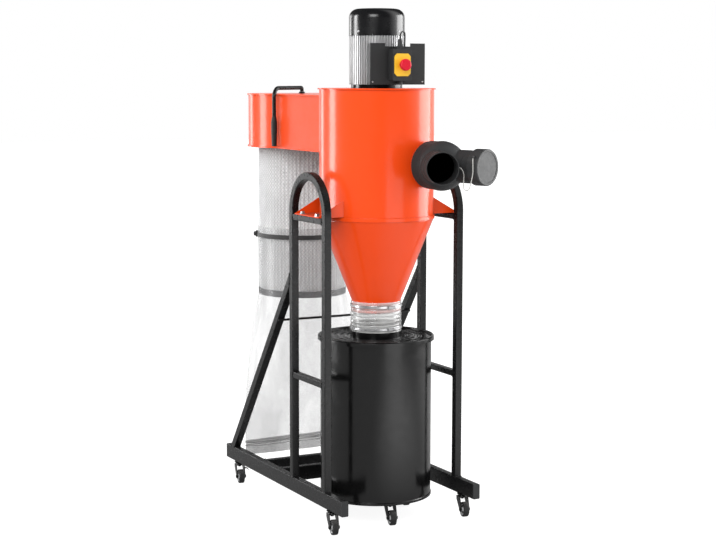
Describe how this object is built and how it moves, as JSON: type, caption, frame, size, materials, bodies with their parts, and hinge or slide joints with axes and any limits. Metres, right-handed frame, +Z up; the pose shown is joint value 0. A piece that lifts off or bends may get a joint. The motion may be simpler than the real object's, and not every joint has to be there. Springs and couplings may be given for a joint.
{
  "type": "mobile two-stage cyclone dust collector",
  "caption": "Mobile workshop dust collector: fan motor over an orange cyclone and black drum, twin-branch inlet, pleated filter with plastic bag behind, on a black tube frame with casters.",
  "frame": {"origin": "on the floor, at the centre of the machine's plan", "axes": "+Z up, -Y towards the front where the inlet and the switch are, +X to the machine's right hand side as seen from the front"},
  "size_m": [0.5324, 1.1981, 1.69],
  "materials": {
    "frame_black": "satin black powder coat on steel tube",
    "end_plug": "black moulded plug",
    "orange_paint": "gloss orange paint on sheet steel",
    "fitting_black": "black moulded plastic",
    "tether_pale": "thin pale plastic cord",
    "motor_base": "dark paint",
    "motor_silver": "ribbed cast aluminium",
    "cowl_black": "gloss black fan cowl",
    "panel_charcoal": "satin charcoal paint on folded sheet",
    "switch_black": "black moulded plastic",
    "switch_yellow": "yellow moulded plastic",
    "button_red": "red moulded plastic",
    "lead_rubber": "black rubber sheath",
    "filter_media": "white pleated filter media",
    "ring_black": "black moulded ring",
    "bag_film": "clear milky plastic film",
    "strap_web": "black woven strap",
    "crank_steel": "black painted rod",
    "grip_rubber": "black grip sleeve",
    "drum_black": "gloss black paint on steel",
    "sleeve_film": "clear flexible hose",
    "clamp_steel": "bright steel band",
    "caster_steel": "black plated steel",
    "wheel_tyre": "dark tyre on a grey hub"
  },
  "bodies": {
    "root": {"base_rails": "frame_black", "rail_end_caps": "end_plug", "base_cross_tubes": "frame_black", "arch_left": "frame_black", "arch_right": "frame_black", "saddle_bars": "frame_black", "rung_bars": "frame_black", "rear_braces": "frame_black", "brace_rod": "frame_black", "hanger_brackets": "orange_paint", "cyclone_barrel": "orange_paint", "cyclone_band": "orange_paint", "cyclone_cone": "orange_paint", "cyclone_top_plate": "orange_paint", "inlet_wye": "fitting_black", "inlet_cap": "fitting_black", "cap_tether": "tether_pale", "motor_flange": "motor_base", "motor_body": "motor_silver", "motor_cowl": "cowl_black", "terminal_box": "switch_black", "switch_panel": "panel_charcoal", "switch_box": "switch_black", "switch_plate": "switch_yellow", "switch_glands": "switch_black", "switch_lead": "lead_rubber", "filter_head": "orange_paint", "filter_canister": "filter_media", "canister_base_ring": "ring_black", "dust_bag": "bag_film", "bag_strap": "strap_web", "crank_boss": "crank_steel", "drum_shell": "drum_black", "drum_base": "drum_black", "drum_lid": "drum_black", "drum_sleeve": "sleeve_film", "sleeve_clamps": "clamp_steel", "caster_mounts": "caster_steel"},
    "crank": {"crank_arm": "crank_steel", "crank_grip": "grip_rubber"},
    "button": {"stop_button": "button_red"},
    "fork_front_left": {"caster_fork_front_left": "caster_steel"},
    "wheel_front_left": {"caster_wheel_front_left": "wheel_tyre"},
    "fork_front_right": {"caster_fork_front_right": "caster_steel"},
    "wheel_front_right": {"caster_wheel_front_right": "wheel_tyre"},
    "fork_rear_left": {"caster_fork_rear_left": "caster_steel"},
    "wheel_rear_left": {"caster_wheel_rear_left": "wheel_tyre"},
    "fork_rear_right": {"caster_fork_rear_right": "caster_steel"},
    "wheel_rear_right": {"caster_wheel_rear_right": "wheel_tyre"},
    "fork_drum_front": {"caster_fork_drum_front": "caster_steel"},
    "wheel_drum_front": {"caster_wheel_drum_front": "wheel_tyre"},
    "fork_drum_right": {"caster_fork_drum_right": "caster_steel"},
    "wheel_drum_right": {"caster_wheel_drum_right": "wheel_tyre"},
    "fork_drum_left": {"caster_fork_drum_left": "caster_steel"},
    "wheel_drum_left": {"caster_wheel_drum_left": "wheel_tyre"}
  },
  "joints": [
    {"name": "crank_turn", "type": "hinge", "parent": "root", "child": "crank", "pos_m": [0.003, 0.407, 1.41], "axis": [0, 0, -1], "range_deg": [0, 245]},
    {"name": "button_press", "type": "slide", "parent": "root", "child": "button", "axis": [0, 1, 0], "range_m": [0, 0.004], "stiffness_N_per_m": 1500},
    {"name": "swivel_front_left", "type": "hinge", "parent": "root", "child": "fork_front_left", "pos_m": [-0.242, -0.332, 0.07], "axis": [0, 0, 1], "continuous": true},
    {"name": "roll_front_left", "type": "hinge", "parent": "fork_front_left", "child": "wheel_front_left", "pos_m": [-0.2462, -0.3536, 0.025], "axis": [-0.9816, 0.1908, 0], "continuous": true},
    {"name": "swivel_front_right", "type": "hinge", "parent": "root", "child": "fork_front_right", "pos_m": [0.248, -0.332, 0.07], "axis": [0, 0, 1], "continuous": true},
    {"name": "roll_front_right", "type": "hinge", "parent": "fork_front_right", "child": "wheel_front_right", "pos_m": [0.2438, -0.3536, 0.025], "axis": [-0.9816, 0.1908, 0], "continuous": true},
    {"name": "swivel_rear_left", "type": "hinge", "parent": "root", "child": "fork_rear_left", "pos_m": [-0.242, 0.428, 0.07], "axis": [0, 0, 1], "continuous": true},
    {"name": "roll_rear_left", "type": "hinge", "parent": "fork_rear_left", "child": "wheel_rear_left", "pos_m": [-0.2462, 0.4064, 0.025], "axis": [-0.9816, 0.1908, 0], "continuous": true},
    {"name": "swivel_rear_right", "type": "hinge", "parent": "root", "child": "fork_rear_right", "pos_m": [0.248, 0.428, 0.07], "axis": [0, 0, 1], "continuous": true},
    {"name": "roll_rear_right", "type": "hinge", "parent": "fork_rear_right", "child": "wheel_rear_right", "pos_m": [0.2438, 0.4064, 0.025], "axis": [-0.9816, 0.1908, 0], "continuous": true},
    {"name": "swivel_drum_front", "type": "hinge", "parent": "root", "child": "fork_drum_front", "pos_m": [-0.02047, -0.31615, 0.07], "axis": [0, 0, 1], "continuous": true},
    {"name": "roll_drum_front", "type": "hinge", "parent": "fork_drum_front", "child": "wheel_drum_front", "pos_m": [-0.02466, -0.33775, 0.025], "axis": [-0.9816, 0.1908, 0], "continuous": true},
    {"name": "swivel_drum_right", "type": "hinge", "parent": "root", "child": "fork_drum_right", "pos_m": [0.14304, -0.11424, 0.07], "axis": [0, 0, 1], "continuous": true},
    {"name": "roll_drum_right", "type": "hinge", "parent": "fork_drum_right", "child": "wheel_drum_right", "pos_m": [0.13884, -0.13584, 0.025], "axis": [-0.9816, 0.1908, 0], "continuous": true},
    {"name": "swivel_drum_left", "type": "hinge", "parent": "root", "child": "fork_drum_left", "pos_m": [-0.11357, -0.0736, 0.07], "axis": [0, 0, 1], "continuous": true},
    {"name": "roll_drum_left", "type": "hinge", "parent": "fork_drum_left", "child": "wheel_drum_left", "pos_m": [-0.11777, -0.0952, 0.025], "axis": [-0.9816, 0.1908, 0], "continuous": true}
  ]
}
